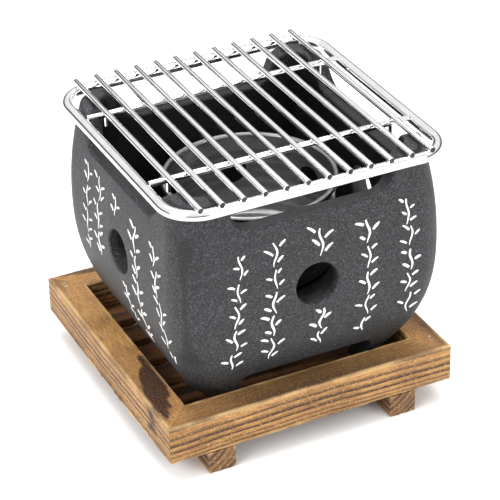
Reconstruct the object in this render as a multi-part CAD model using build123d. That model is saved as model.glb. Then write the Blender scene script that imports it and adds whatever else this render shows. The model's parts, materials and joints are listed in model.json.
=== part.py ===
"""Tabletop hibachi grill: a square cast fire pot on a slatted wooden stand, with a round
fuel cup inside the pot and a wire rack that lies on the four raised corners of its rim.

Millimetres. The origin is the middle of the stand's underside, +Z is up, -Y is the front.
Four bodies leave one another upwards: stand, pot, cup and rack.
"""
from build123d import *
import os

# ---------------------------------------------------------------- driving sizes
# Wooden stand
WELL_ROOM = 4.225           # between the pot and the rails at the rails' tops, if centred
RAIL_WIDTH = 15.3
RAIL_HEIGHT = 20.0
RAIL_EDGE_R = 1.1           # softened long edges of the rails
RUNNER_HEIGHT = 11.8
RUNNER_WIDTH = 14.0
RUNNER_INSET = 11.2         # from a side rail's inner face to a runner's centre line
RUNNER_EDGE_R = 0.7
SLAT_COUNT = 6
SLAT_WIDTH = 13.0
SLAT_MARGIN = 4.2           # between the first or last slat and its rail
SLAT_THICKNESS = 5.0
SLAT_EDGE_R = 0.6
SLAT_END_GAP = 0.25         # left between a slat's end and the rail

# Fixings of the stand
FIXING_GAP = 0.05           # radial room of a fixing in its hole
SCREW_SHANK_R = 1.75
SCREW_HEAD_R = 3.4
SCREW_HEAD_HEIGHT = 2.1
SCREW_BITE = 10.2           # how far a screw reaches into its rail
CROSS_SLOT_WIDTH = 0.9
CROSS_SLOT_LENGTH = 3.8
CROSS_SLOT_DEPTH = 1.2
NAIL_SHANK_R = 0.6
NAIL_HEAD_R = 1.3
NAIL_HEAD_HEIGHT = 0.6
NAIL_BITE = 3.2             # how far a nail reaches into its slat
BRAD_R = 0.7
BRAD_LENGTH = 13.0
BRAD_FROM_CORNER = (8.4, 11.6)   # along the side rails, from the stand's corner
BRAD_INSET = 5.2                 # from the side rail's outer face

# Cast fire pot
POT_GAP_RIGHT = 0.5         # left between the pot and the right rail
POT_GAP_FRONT = 1.6         # left between the pot and the front rail
POT_HEIGHT = 122.9
POT_HALF_WIDEST = 70.0      # half width at the widest height
POT_WIDEST_UP = 72.2        # height of the widest part above the feet
POT_HALF_FOOT = 44.0        # half width at the feet
POT_HALF_RIM = 64.4         # half width at the corners' tops
POT_BELLY_POWER = 2.5       # how late the lower wall turns in
POT_CORNER_R = 16.0
POT_WALL = 9.0
POT_INNER_CORNER_R = 8.0
POT_FLOOR_UP = 48.2         # top of the inner floor above the feet
POT_FLOOR_THICKNESS = 6.0
POT_SECTIONS = 11
RIM_DIP = 16.7              # depth of each side's dip below the corners' tops
EAR_LENGTH = 13.4           # level top of a raised corner, along each side
DIP_RAMP = 20.0             # run of each S-shaped ramp
RIM_EDGE_R = 1.6
VENT_R = 10.8
VENT_UP = 69.7              # vent centre above the feet
VENT_EDGE_R = 1.0
FOOT_LENGTH = 9.0           # from a foot's outer side to its arch
ARCH_HEIGHT = 23.2
ARCH_CORNER_R = 5.0

# Round fuel cup
CUP_R = 41.0
CUP_HEIGHT = 44.0
CUP_SHEET = 0.8
CUP_BOTTOM_R = 4.0
CUP_RIM_ROLL_R = 1.5
CUP_HOLES = 6
CUP_HOLE_R = 7.4
CUP_HOLE_UP = 25.5          # hole centre above the cup's underside
CUP_HOLE_TURN = 17.0        # degrees from +X to the first hole

# Wire rack
RACK_SHIFT = (0.7, 1.1)     # where the rack lies, off the pot's middle
RACK_ROOM = 2.5             # between the raised corners and the frame wire, if centred
RACK_CORNER_R = 17.0        # centre line radius of the frame's corners
FRAME_WIRE_R = 2.75
BAR_R = 1.5
BAR_COUNT = 12
BAR_INSET = 11.075          # from the frame wire's centre line to the first bar's
BAR_OVERHANG = 2.05         # bar end beyond the frame wire's centre line
CROSS_WIRE_R = 1.6
CROSS_WIRE_INSETS = (35.15, 32.15)   # front and back, from the frame wire's centre line
WELD_SINK = 0.3             # how far crossing wires are pressed into each other
RACK_REST_GAP = 0.3         # bars above the corners' tops
PIN_R = 1.0
PIN_LENGTH = 4.4
PIN_INSET = 12.15           # along the cross wires, from the frame wire's centre line

# ---------------------------------------------------------------- derived places
RAIL_TOP = RUNNER_HEIGHT + RAIL_HEIGHT
TRAY_TOP = RUNNER_HEIGHT + SLAT_THICKNESS
POT_TOP = TRAY_TOP + POT_HEIGHT
POT_FLOOR = TRAY_TOP + POT_FLOOR_UP
POT_RECESS_TOP = POT_FLOOR - POT_FLOOR_THICKNESS
DIP_FLOOR = POT_TOP - RIM_DIP
DIP_FLOOR_HALF = POT_HALF_RIM - EAR_LENGTH - DIP_RAMP
VENT_HEIGHT = TRAY_TOP + VENT_UP
ARCH_HALF = POT_HALF_FOOT - FOOT_LENGTH
BAR_AXIS = POT_TOP + RACK_REST_GAP + BAR_R
FRAME_AXIS = BAR_AXIS - BAR_R - FRAME_WIRE_R + WELD_SINK
CROSS_AXIS = BAR_AXIS - BAR_R - CROSS_WIRE_R + WELD_SINK
FRAME_HALF = POT_HALF_RIM + RACK_ROOM + FRAME_WIRE_R
BAR_PITCH = 2 * (FRAME_HALF - BAR_INSET) / (BAR_COUNT - 1)
CROSS_WIRE_FRONT = CROSS_WIRE_INSETS[0] - FRAME_HALF
CROSS_WIRE_BACK = FRAME_HALF - CROSS_WIRE_INSETS[1]
FACE_TURNS = (0, 90, 180, 270)


def pot_half(height):
    """Half width of the pot at a height above the stand's underside."""
    up = height - TRAY_TOP
    if up < POT_WIDEST_UP:
        share = (POT_WIDEST_UP - up) / POT_WIDEST_UP
        return POT_HALF_WIDEST - (POT_HALF_WIDEST - POT_HALF_FOOT) * share**POT_BELLY_POWER
    share = (up - POT_WIDEST_UP) / (POT_HEIGHT - POT_WIDEST_UP)
    return POT_HALF_WIDEST - (POT_HALF_WIDEST - POT_HALF_RIM) * share**2


WELL_HALF = pot_half(RAIL_TOP) + WELL_ROOM
STAND_HALF = WELL_HALF + RAIL_WIDTH
STAND_SIDE = 2 * STAND_HALF
RUNNER_CENTRE = WELL_HALF - RUNNER_INSET
SLAT_PITCH = 2 * (WELL_HALF - SLAT_MARGIN - SLAT_WIDTH / 2) / (SLAT_COUNT - 1)
SCREW_LENGTH = RUNNER_HEIGHT + SCREW_BITE
NAIL_LENGTH = RUNNER_HEIGHT + NAIL_BITE
POT_X = WELL_ROOM - POT_GAP_RIGHT
POT_Y = POT_GAP_FRONT - WELL_ROOM
RACK_X = POT_X + RACK_SHIFT[0]
RACK_Y = POT_Y + RACK_SHIFT[1]


def write(node, shape):
    """Name a sub-part's shape and write it to its own file."""
    shape.label = node
    export_step(shape, f"parts/{node}.step")


# ---------------------------------------------------------------- stand
def screw_places():
    """Axes of the screws that hold the runners under the front and back rails."""
    reach = STAND_HALF - RAIL_WIDTH / 2
    return [(x, y) for x in (-RUNNER_CENTRE, RUNNER_CENTRE) for y in (-reach, reach)]


def slat_places():
    """Centre lines of the slats, from front to back."""
    first = -SLAT_PITCH * (SLAT_COUNT - 1) / 2
    return [first + SLAT_PITCH * i for i in range(SLAT_COUNT)]


def nail_places():
    """Axes of the nails that hold both runners to each slat."""
    return [(x, y) for x in (-RUNNER_CENTRE, RUNNER_CENTRE) for y in slat_places()]


def brad_places():
    """Axes of the two brads beside each mitre, driven down into the side rails."""
    x = STAND_HALF - BRAD_INSET
    places = []
    for along in BRAD_FROM_CORNER:
        y = STAND_HALF - along
        places += [(sx * x, sy * y) for sx in (-1, 1) for sy in (-1, 1)]
    return places


def posts(places, radius, low, high):
    """Upright cylinders between two heights, one at each place."""
    height = high - low
    return [Pos(x, y, low + height / 2) * Cylinder(radius, height) for x, y in places]


def front_rail():
    """Front rail of the mitred frame, before its fixing holes."""
    profile = RectangleRounded(RAIL_WIDTH, RAIL_HEIGHT, RAIL_EDGE_R)
    bar = Pos(-STAND_HALF, 0, 0) * extrude(Plane.YZ * profile, STAND_SIDE)
    bar = Pos(0, -STAND_HALF + RAIL_WIDTH / 2, RUNNER_HEIGHT + RAIL_HEIGHT / 2) * bar
    corners = [
        (-STAND_HALF, -STAND_HALF),
        (STAND_HALF, -STAND_HALF),
        (WELL_HALF, -WELL_HALF),
        (-WELL_HALF, -WELL_HALF),
    ]
    mitre = make_face(Polyline(*corners, close=True))
    return bar & extrude(mitre, RAIL_TOP)


def rails():
    """The four rails, with the pilot holes of screws and brads."""
    pilots = posts(screw_places(), SCREW_SHANK_R + FIXING_GAP, 0, SCREW_LENGTH + FIXING_GAP)
    brad_low = RAIL_TOP - BRAD_LENGTH
    pilots += posts(brad_places(), BRAD_R + FIXING_GAP, brad_low - FIXING_GAP, RAIL_TOP)
    names = ("rail_front", "rail_right", "rail_back", "rail_left")
    made = {}
    for name, turn in zip(names, FACE_TURNS):
        made[name] = Rot(0, 0, turn) * front_rail() - pilots
    return made


def screw_at(x, y):
    """One countersunk cross-head screw, driven up from under a runner."""
    head = Cone(SCREW_HEAD_R, SCREW_SHANK_R, SCREW_HEAD_HEIGHT)
    head = Pos(0, 0, SCREW_HEAD_HEIGHT / 2) * head
    shank = Pos(0, 0, SCREW_LENGTH / 2) * Cylinder(SCREW_SHANK_R, SCREW_LENGTH)
    slot = Box(CROSS_SLOT_LENGTH, CROSS_SLOT_WIDTH, 2 * CROSS_SLOT_DEPTH)
    return Pos(x, y, 0) * (head + shank - slot - Rot(0, 0, 90) * slot)


def runners():
    """The two runners under the frame, with countersunk screw holes and nail holes."""
    profile = RectangleRounded(RUNNER_WIDTH, RUNNER_HEIGHT, RUNNER_EDGE_R)
    bar = extrude(Plane.XZ * profile, STAND_SIDE)
    bar = Pos(0, STAND_HALF, RUNNER_HEIGHT / 2) * bar
    holes = posts(screw_places(), SCREW_SHANK_R + FIXING_GAP, 0, RUNNER_HEIGHT)
    sink = Cone(SCREW_HEAD_R + FIXING_GAP, SCREW_SHANK_R + FIXING_GAP, SCREW_HEAD_HEIGHT)
    holes += [Pos(x, y, SCREW_HEAD_HEIGHT / 2) * sink for x, y in screw_places()]
    holes += posts(nail_places(), NAIL_SHANK_R + FIXING_GAP, 0, RUNNER_HEIGHT)
    holes += posts(nail_places(), NAIL_HEAD_R + FIXING_GAP, 0, NAIL_HEAD_HEIGHT + FIXING_GAP)
    return {
        "runner_left": Pos(-RUNNER_CENTRE, 0, 0) * bar - holes,
        "runner_right": Pos(RUNNER_CENTRE, 0, 0) * bar - holes,
    }


def nail_at(x, y):
    """One flat-headed nail, driven up through a runner, its head flush with the underside."""
    shank = posts([(x, y)], NAIL_SHANK_R, 0, NAIL_LENGTH)[0]
    head = posts([(x, y)], NAIL_HEAD_R, 0, NAIL_HEAD_HEIGHT)[0]
    return shank + head


def slats():
    """The slats of the tray floor, laid across both runners between the side rails."""
    length = 2 * (WELL_HALF - SLAT_END_GAP)
    profile = RectangleRounded(SLAT_WIDTH, SLAT_THICKNESS, SLAT_EDGE_R)
    bar = Pos(-length / 2, 0, TRAY_TOP - SLAT_THICKNESS / 2) * extrude(Plane.YZ * profile, length)
    made = {}
    for number, y in enumerate(slat_places(), 1):
        spots = [(x, y) for x in (-RUNNER_CENTRE, RUNNER_CENTRE)]
        holes = posts(spots, NAIL_SHANK_R + FIXING_GAP, RUNNER_HEIGHT, NAIL_LENGTH + FIXING_GAP)
        made[f"floor_slat_{number}"] = Pos(0, y, 0) * bar - holes
    return made


# ---------------------------------------------------------------- pot
def pot_skin(low, high, inset, corner):
    """Closed body between two heights, an even distance inside the pot's outer face."""
    sections = []
    for i in range(POT_SECTIONS):
        z = low + (high - low) * i / (POT_SECTIONS - 1)
        side = 2 * (pot_half(z) - inset)
        sections.append(Pos(0, 0, z) * RectangleRounded(side, side, corner))
    return loft(sections)


def rim_dip():
    """Cutter for the dip in one pair of opposite rims, an S-curve at each end."""
    low_end = (DIP_FLOOR_HALF, DIP_FLOOR)
    middle = (DIP_FLOOR_HALF + DIP_RAMP / 2, DIP_FLOOR + RIM_DIP / 2)
    high_end = (DIP_FLOOR_HALF + DIP_RAMP, POT_TOP)
    above = (high_end[0], POT_TOP + RIM_DIP)
    hollow = TangentArc(low_end, middle, tangent=(1, 0))
    crest = TangentArc(high_end, middle, tangent=(-1, 0))
    right = hollow + crest + Line(high_end, above)
    left = mirror(right, Plane.YZ)
    floor = Line((-DIP_FLOOR_HALF, DIP_FLOOR), low_end)
    lid = Line((-above[0], above[1]), above)
    face = make_face(Plane.XZ * (right + left + floor + lid))
    return extrude(face, 2 * POT_HALF_WIDEST, both=True)


def arch():
    """Cutter for the arches between the feet of two opposite sides."""
    side = 2 * ARCH_HALF
    profile = RectangleRounded(side, 2 * ARCH_HEIGHT, ARCH_CORNER_R)
    return Pos(0, 0, TRAY_TOP) * extrude(Plane.XZ * profile, 2 * POT_HALF_WIDEST, both=True)


def vent():
    """Cutter for the round vents of two opposite sides."""
    return Pos(0, 0, VENT_HEIGHT) * Rot(90, 0, 0) * Cylinder(VENT_R, 4 * POT_HALF_WIDEST)


def vent_mouths(body):
    """The round edges where the four vents break through the pot's faces."""
    level = [edge for edge in body.edges() if abs(edge.center().Z - VENT_HEIGHT) < VENT_R / 2]
    return [edge for edge in level if edge.length > 2 * VENT_R]


def fire_pot():
    """The cast pot: walls, inner floor, four feet, four vents and four corner ears."""
    body = pot_skin(TRAY_TOP, POT_TOP, 0, POT_CORNER_R)
    reach = POT_TOP + 1.0
    cavity = pot_skin(POT_FLOOR, reach, POT_WALL, POT_INNER_CORNER_R)
    recess = pot_skin(TRAY_TOP, POT_RECESS_TOP, POT_WALL, POT_INNER_CORNER_R)
    body = body - cavity - recess
    for turn in (0, 90):
        body -= Rot(0, 0, turn) * rim_dip()
        body -= Rot(0, 0, turn) * arch()
        body -= Rot(0, 0, turn) * vent()
    rim = [edge for edge in body.edges() if edge.center().Z > DIP_FLOOR - RIM_EDGE_R / 2]
    body = fillet(rim, RIM_EDGE_R)
    body = fillet(vent_mouths(body), VENT_EDGE_R)
    return Pos(POT_X, POT_Y, 0) * body


# ---------------------------------------------------------------- cup
def fuel_cup():
    """The spun sheet cup: rolled rim, rounded foot and a row of side holes."""
    low = POT_FLOOR
    high = POT_FLOOR + CUP_HEIGHT
    outer = Pos(0, 0, low + CUP_HEIGHT / 2) * Cylinder(CUP_R, CUP_HEIGHT)
    outer = fillet(outer.edges().group_by(Axis.Z)[0], CUP_BOTTOM_R)
    inside = Pos(0, 0, low + CUP_SHEET + CUP_HEIGHT / 2) * Cylinder(CUP_R - CUP_SHEET, CUP_HEIGHT)
    inside = fillet(inside.edges().group_by(Axis.Z)[0], CUP_BOTTOM_R - CUP_SHEET)
    roll = Pos(0, 0, high) * Torus(CUP_R - CUP_SHEET + CUP_RIM_ROLL_R, CUP_RIM_ROLL_R)
    shell = outer - inside + roll
    for i in range(CUP_HOLES):
        turn = CUP_HOLE_TURN + 360 * i / CUP_HOLES
        drill = Pos(CUP_R, 0, low + CUP_HOLE_UP) * Rot(0, 90, 0) * Cylinder(CUP_HOLE_R, CUP_R)
        shell -= Rot(0, 0, turn) * drill
    return Pos(POT_X, POT_Y, 0) * shell


# ---------------------------------------------------------------- rack
def rack_frame():
    """The heavy frame wire, bent into a square with round corners."""
    side = 2 * FRAME_HALF
    line = RectangleRounded(side, side, RACK_CORNER_R).face().outer_wire()
    section = Plane((0, -FRAME_HALF, 0), x_dir=(0, 1, 0), z_dir=(1, 0, 0)) * Circle(FRAME_WIRE_R)
    return Pos(RACK_X, RACK_Y, FRAME_AXIS) * sweep(section, path=line)


def wire_along_y(x, half, radius, height):
    """A straight wire that runs front to back on the rack."""
    rod = Rot(90, 0, 0) * Cylinder(radius, 2 * half)
    return Pos(RACK_X + x, RACK_Y, height) * rod


def rack():
    """Frame, bars, cross wires and locating pins, each trimmed to what it is welded on."""
    frame = rack_frame()
    made = {"rack_frame": frame}
    crosses = {}
    for name, y in (("front", CROSS_WIRE_FRONT), ("back", CROSS_WIRE_BACK)):
        half = FRAME_HALF - FRAME_WIRE_R + WELD_SINK
        rod = Rot(0, 90, 0) * Cylinder(CROSS_WIRE_R, 2 * half)
        rod = Pos(RACK_X, RACK_Y + y, CROSS_AXIS) * rod
        crosses[f"cross_wire_{name}"] = rod - frame
    made.update(crosses)
    bar_half = FRAME_HALF + BAR_OVERHANG
    for i in range(BAR_COUNT):
        x = BAR_PITCH * (i - (BAR_COUNT - 1) / 2)
        bar = wire_along_y(x, bar_half, BAR_R, BAR_AXIS)
        made[f"rack_bar_{i + 1:02d}"] = bar - frame - list(crosses.values())
    pins = []
    for y in (CROSS_WIRE_FRONT, CROSS_WIRE_BACK):
        for side in (-1, 1):
            x = RACK_X + side * (FRAME_HALF - PIN_INSET)
            low = CROSS_AXIS - CROSS_WIRE_R - PIN_LENGTH
            pin = posts([(x, RACK_Y + y)], PIN_R, low, CROSS_AXIS)[0]
            pins.append(pin - list(crosses.values()))
    made["rack_locating_pins"] = Compound(children=pins)
    return made


def main():
    """Build every sub-part and write it to the parts folder."""
    os.makedirs("parts", exist_ok=True)
    parts = {}
    parts.update(rails())
    parts.update(runners())
    parts.update(slats())
    parts["runner_screws"] = Compound(children=[screw_at(x, y) for x, y in screw_places()])
    parts["slat_nails"] = Compound(children=[nail_at(x, y) for x, y in nail_places()])
    brads = posts(brad_places(), BRAD_R, RAIL_TOP - BRAD_LENGTH, RAIL_TOP)
    parts["corner_brads"] = Compound(children=brads)
    parts["fire_pot"] = fire_pot()
    parts["fuel_cup"] = fuel_cup()
    parts.update(rack())
    for node, shape in parts.items():
        write(node, shape)


main()
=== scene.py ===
"""Looks of a tabletop hibachi grill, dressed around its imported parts.

Metres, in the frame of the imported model: the origin is the middle of the stand's underside,
+Z is up and -Y is the front. Sizes named ..._mm are millimetres.
"""
import json
import logging
import math
import random
from dataclasses import dataclass, field
from enum import Enum
from typing import Callable, Sequence

import bmesh
import bpy
from mathutils import Matrix, Vector, noise

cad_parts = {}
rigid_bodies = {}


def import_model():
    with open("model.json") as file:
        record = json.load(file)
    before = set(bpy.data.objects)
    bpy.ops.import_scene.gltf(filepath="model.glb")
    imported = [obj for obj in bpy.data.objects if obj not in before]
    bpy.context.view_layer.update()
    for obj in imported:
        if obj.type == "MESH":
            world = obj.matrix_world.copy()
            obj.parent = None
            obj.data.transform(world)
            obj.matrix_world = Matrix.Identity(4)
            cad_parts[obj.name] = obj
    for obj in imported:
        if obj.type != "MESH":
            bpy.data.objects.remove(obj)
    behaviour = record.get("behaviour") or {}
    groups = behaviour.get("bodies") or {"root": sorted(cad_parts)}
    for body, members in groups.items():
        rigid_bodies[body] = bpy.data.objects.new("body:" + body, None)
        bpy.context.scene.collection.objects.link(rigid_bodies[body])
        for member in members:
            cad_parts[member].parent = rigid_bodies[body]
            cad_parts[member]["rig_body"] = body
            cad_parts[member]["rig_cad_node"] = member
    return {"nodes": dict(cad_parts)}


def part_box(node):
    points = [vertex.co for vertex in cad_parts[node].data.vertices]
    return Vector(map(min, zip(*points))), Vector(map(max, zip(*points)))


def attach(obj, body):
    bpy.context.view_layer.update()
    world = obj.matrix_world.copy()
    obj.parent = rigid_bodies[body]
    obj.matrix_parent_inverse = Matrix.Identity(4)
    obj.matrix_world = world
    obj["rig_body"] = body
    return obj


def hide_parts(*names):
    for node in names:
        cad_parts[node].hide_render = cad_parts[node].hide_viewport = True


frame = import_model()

MM = 0.001
SMOOTH_ANGLE = math.radians(32)
LEVEL = 1e-7  # metres within which two places count as one
LOG = logging.getLogger("hibachi")

Colour = tuple[float, float, float, float]


def srgb(red: int, green: int, blue: int) -> Colour:
    """Turn a display colour into the linear colour that shaders take.

    Args:
        red: red, 0 to 255.
        green: green, 0 to 255.
        blue: blue, 0 to 255.

    Returns:
        The linear colour with full alpha.
    """
    linear = []
    for value in (red, green, blue):
        share = value / 255
        linear.append(share / 12.92 if share <= 0.04045 else ((share + 0.055) / 1.055) ** 2.4)
    return (linear[0], linear[1], linear[2], 1.0)


# ---------------------------------------------------------------- modelling tools
class Part(Enum):
    """What is selected in edit mode: the operator's word and the mesh's own list."""

    VERTS = ("VERT", "verts")
    EDGES = ("EDGE", "edges")
    FACES = ("FACE", "faces")


def deselect() -> None:
    """Leave edit mode and select nothing."""
    current = bpy.context.view_layer.objects.active
    if current and current.mode != "OBJECT":
        bpy.ops.object.mode_set(mode="OBJECT")
    bpy.ops.object.select_all(action="DESELECT")


def take(piece: bpy.types.Object) -> bpy.types.Object:
    """Make a piece the only selected and active one."""
    deselect()
    piece.select_set(True)
    bpy.context.view_layer.objects.active = piece
    return piece


def edit(piece: bpy.types.Object) -> None:
    """Open a piece in edit mode with nothing selected."""
    take(piece)
    bpy.ops.object.mode_set(mode="EDIT")
    bpy.ops.mesh.select_all(action="DESELECT")


def pick(piece: bpy.types.Object, part: Part, test: Callable) -> None:
    """Select, in edit mode, the parts of a mesh that pass a test.

    Args:
        piece: the object in edit mode.
        part: vertices, edges or faces.
        test: called with each of them.
    """
    word, name = part.value
    bpy.ops.mesh.select_mode(type=word)
    bpy.ops.mesh.select_all(action="DESELECT")
    mesh = bmesh.from_edit_mesh(piece.data)
    items = getattr(mesh, name)
    items.ensure_lookup_table()
    for item in items:
        if test(item):
            item.select_set(True)
    bmesh.update_edit_mesh(piece.data)


def settle(piece: bpy.types.Object, name: str) -> bpy.types.Object:
    """Name a piece, put its place into its mesh and smooth its shading up to the sharp edges."""
    take(piece)
    bpy.ops.object.transform_apply(location=True, rotation=True, scale=True)
    bpy.ops.object.shade_smooth_by_angle(angle=SMOOTH_ANGLE)
    piece.name = name
    piece.data.name = name
    return piece


def twin(piece: bpy.types.Object, name: str, move: Matrix) -> bpy.types.Object:
    """Copy a piece with its own mesh and put the copy's place into that mesh.

    Args:
        piece: the finished piece.
        name: the copy's name.
        move: from the piece's place to the copy's.

    Returns:
        The copy.
    """
    copy = piece.copy()
    copy.data = piece.data.copy()
    bpy.context.scene.collection.objects.link(copy)
    copy.data.transform(move)
    copy.name = name
    copy.data.name = name
    return copy


def apply_modifiers(piece: bpy.types.Object) -> None:
    """Apply a piece's modifiers in their order."""
    take(piece)
    for modifier in list(piece.modifiers):
        bpy.ops.object.modifier_apply(modifier=modifier.name)


def join(copies: Sequence[bpy.types.Object], name: str) -> bpy.types.Object:
    """Join copies into one piece."""
    take(copies[0])
    for copy in copies:
        copy.select_set(True)
    bpy.ops.object.join()
    return settle(copies[0], name)


def merged_copy(node: str, name: str) -> bpy.types.Object:
    """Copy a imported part's mesh with its loose triangles joined.

    Args:
        node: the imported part.
        name: the copy's name.

    Returns:
        The copy, smooth up to its sharp edges.
    """
    source = frame["nodes"][node]
    copy = source.copy()
    copy.data = source.data.copy()
    copy.parent = None
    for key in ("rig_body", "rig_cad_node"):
        if key in copy:
            del copy[key]
    bpy.context.scene.collection.objects.link(copy)
    take(copy)
    bpy.ops.mesh.customdata_custom_splitnormals_clear()
    edit(copy)
    bpy.ops.mesh.select_all(action="SELECT")
    bpy.ops.mesh.remove_doubles(threshold=0.004 * MM)
    bpy.ops.object.mode_set(mode="OBJECT")
    return settle(copy, name)


# ---------------------------------------------------------------- shader tools
def feed(tree: bpy.types.NodeTree, node: bpy.types.Node, inputs: dict) -> None:
    """Set or link a node's inputs."""
    for key, value in inputs.items():
        if isinstance(value, bpy.types.NodeSocket):
            tree.links.new(value, node.inputs[key])
        else:
            node.inputs[key].default_value = value


def place(tree: bpy.types.NodeTree, kind: str, inputs: dict | None = None, **settings) -> bpy.types.Node:
    """Add a node, set its properties and fill its inputs.

    Args:
        tree: the node tree.
        kind: the node's type name without its ShaderNode start.
        inputs: by input name or number, a value or the output socket that feeds it.
        settings: the node's own properties.

    Returns:
        The node.
    """
    node = tree.nodes.new(kind if kind.startswith("Node") else "ShaderNode" + kind)
    for key, value in settings.items():
        setattr(node, key, value)
    feed(tree, node, inputs or {})
    return node


def math_node(tree: bpy.types.NodeTree, operation: str, *values) -> bpy.types.NodeSocket:
    """Add a Math node and return its output."""
    return place(tree, "Math", dict(enumerate(values)), operation=operation).outputs[0]


def spread(
    tree: bpy.types.NodeTree,
    value,
    low: float,
    high: float,
    to_low: float = 0.0,
    to_high: float = 1.0,
    soft: bool = True,
) -> bpy.types.NodeSocket:
    """Map a range of a value onto another, with soft ends if asked."""
    inputs = {"Value": value, "From Min": low, "From Max": high, "To Min": to_low, "To Max": to_high}
    kind = "SMOOTHSTEP" if soft else "LINEAR"
    return place(tree, "MapRange", inputs, interpolation_type=kind).outputs["Result"]


def blend(tree: bpy.types.NodeTree, share, low, high) -> bpy.types.NodeSocket:
    """Mix two colours by a share and return the colour."""
    return place(tree, "Mix", {"Factor": share, 6: low, 7: high}, data_type="RGBA").outputs[2]


def grain_noise(tree: bpy.types.NodeTree, vector, scale: float, detail: float = 3.0, rough: float = 0.55):
    """Add a noise texture and return its height."""
    inputs = {"Vector": vector, "Scale": scale, "Detail": detail, "Roughness": rough}
    return place(tree, "TexNoise", inputs).outputs["Fac"]


class Effects:
    """Node groups that several finishes share, each built once."""

    built: dict[str, bpy.types.NodeTree] = {}

    @classmethod
    def start(cls, name: str, inputs: dict[str, str], outputs: dict[str, str]):
        """Open a new group with its named sockets.

        Args:
            name: the group's name.
            inputs: socket type by input name.
            outputs: socket type by output name.

        Returns:
            The group, its input node and its output node.
        """
        tree = bpy.data.node_groups.new(name, "ShaderNodeTree")
        for direction, sockets in (("INPUT", inputs), ("OUTPUT", outputs)):
            for label, kind in sockets.items():
                tree.interface.new_socket(name=label, in_out=direction, socket_type="NodeSocket" + kind)
        cls.built[name] = tree
        return tree, place(tree, "NodeGroupInput"), place(tree, "NodeGroupOutput")

    @classmethod
    def use(cls, tree: bpy.types.NodeTree, name: str, inputs: dict) -> bpy.types.Node:
        """Place a group in a tree, building it first if need be."""
        if name not in cls.built:
            getattr(cls, name)()
        return place(tree, "Group", inputs, node_tree=cls.built[name])

    @classmethod
    def pine_grain(cls) -> None:
        """Growth rings and fibres of a board, from its ring count and stretched coordinates."""
        tree, given, out = cls.start(
            "pine_grain",
            {"Ring": "Float", "Vector": "Vector"},
            {"Latewood": "Float", "Fibre": "Float", "Streak": "Float", "Height": "Float"},
        )
        fine = grain_noise(tree, given.outputs["Vector"], 1.6, 5.0, 0.6)
        ring = math_node(tree, "ADD", given.outputs["Ring"], spread(tree, fine, 0, 1, -0.09, 0.09, False))
        share = math_node(tree, "FRACT", ring)
        count = math_node(tree, "FLOOR", ring)
        chance = place(tree, "TexWhiteNoise", {"W": count}, noise_dimensions="1D").outputs["Value"]
        start = spread(tree, chance, 0, 1, 0.5, 0.22, False)
        depth = spread(tree, chance, 0, 1, 0.72, 1.0, False)
        width = math_node(tree, "SUBTRACT", 0.93, start)
        rise = math_node(tree, "DIVIDE", math_node(tree, "SUBTRACT", share, start), width)
        rise = math_node(tree, "POWER", spread(tree, rise, 0, 1), 0.65)
        fall = spread(tree, share, 0.93, 1.0, 1.0, 0.0)
        late = math_node(tree, "MULTIPLY", math_node(tree, "MULTIPLY", rise, fall), depth)
        fibre = grain_noise(tree, given.outputs["Vector"], 2.4, 5.0, 0.7)
        fibre = spread(tree, fibre, 0.3, 0.7)
        streak = grain_noise(tree, given.outputs["Vector"], 4.5, 2.0, 0.5)
        streak = spread(tree, streak, 0.6, 0.74)
        height = math_node(tree, "MULTIPLY_ADD", late, 0.7, math_node(tree, "MULTIPLY", fibre, 0.3))
        height = math_node(tree, "SUBTRACT", height, math_node(tree, "MULTIPLY", streak, 0.35))
        for label, socket in (("Latewood", late), ("Fibre", fibre), ("Streak", streak), ("Height", height)):
            tree.links.new(socket, out.inputs[label])

    @classmethod
    def mottle(cls) -> None:
        """Soft cloudy patches and small spots, such as stain, smoke or handling leave."""
        tree, given, out = cls.start(
            "mottle", {"Vector": "Vector", "Scale": "Float"}, {"Cloud": "Float", "Spot": "Float"}
        )
        where, scale = given.outputs["Vector"], given.outputs["Scale"]
        cloud = place(tree, "TexNoise", {"Vector": where, "Scale": scale, "Detail": 4.0, "Distortion": 0.6})
        tree.links.new(spread(tree, cloud.outputs["Fac"], 0.3, 0.7), out.inputs["Cloud"])
        finer = math_node(tree, "MULTIPLY", scale, 7.0)
        spot = place(tree, "TexNoise", {"Vector": where, "Scale": finer, "Detail": 3.0})
        tree.links.new(spread(tree, spot.outputs["Fac"], 0.55, 0.72), out.inputs["Spot"])

    @classmethod
    def turned_lines(cls) -> None:
        """Fine lines that run round an upright axis, as spinning and polishing leave them."""
        tree, given, out = cls.start("turned_lines", {"Vector": "Vector"}, {"Line": "Float", "Band": "Float"})
        parts = place(tree, "SeparateXYZ", {"Vector": given.outputs["Vector"]}).outputs
        turn = math_node(tree, "ARCTAN2", parts["Y"], parts["X"])
        squares = [math_node(tree, "MULTIPLY", parts[axis], parts[axis]) for axis in "XY"]
        reach = math_node(tree, "SQRT", math_node(tree, "ADD", *squares))
        per_mm = [math_node(tree, "MULTIPLY", value, 1 / MM) for value in (parts["Z"], reach)]
        level = math_node(tree, "ADD", *per_mm)
        around = math_node(tree, "MULTIPLY", turn, 0.9)
        wound = place(tree, "CombineXYZ", {"X": around, "Y": level}).outputs[0]
        tree.links.new(spread(tree, grain_noise(tree, wound, 3.4, 4.0, 0.7), 0.3, 0.7), out.inputs["Line"])
        tree.links.new(spread(tree, grain_noise(tree, wound, 0.35, 2.0, 0.5), 0.35, 0.65), out.inputs["Band"])


def new_material(name: str) -> tuple[bpy.types.Material, bpy.types.NodeTree, bpy.types.Node]:
    """Make an empty material with a Principled shader.

    Args:
        name: the material's name.

    Returns:
        The material, its tree and its shader node.
    """
    material = bpy.data.materials.new(name)
    material.use_nodes = True
    tree = material.node_tree
    tree.nodes.clear()
    shader = place(tree, "BsdfPrincipled")
    out = place(tree, "OutputMaterial")
    tree.links.new(shader.outputs[0], out.inputs["Surface"])
    return material, tree, shader


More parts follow.
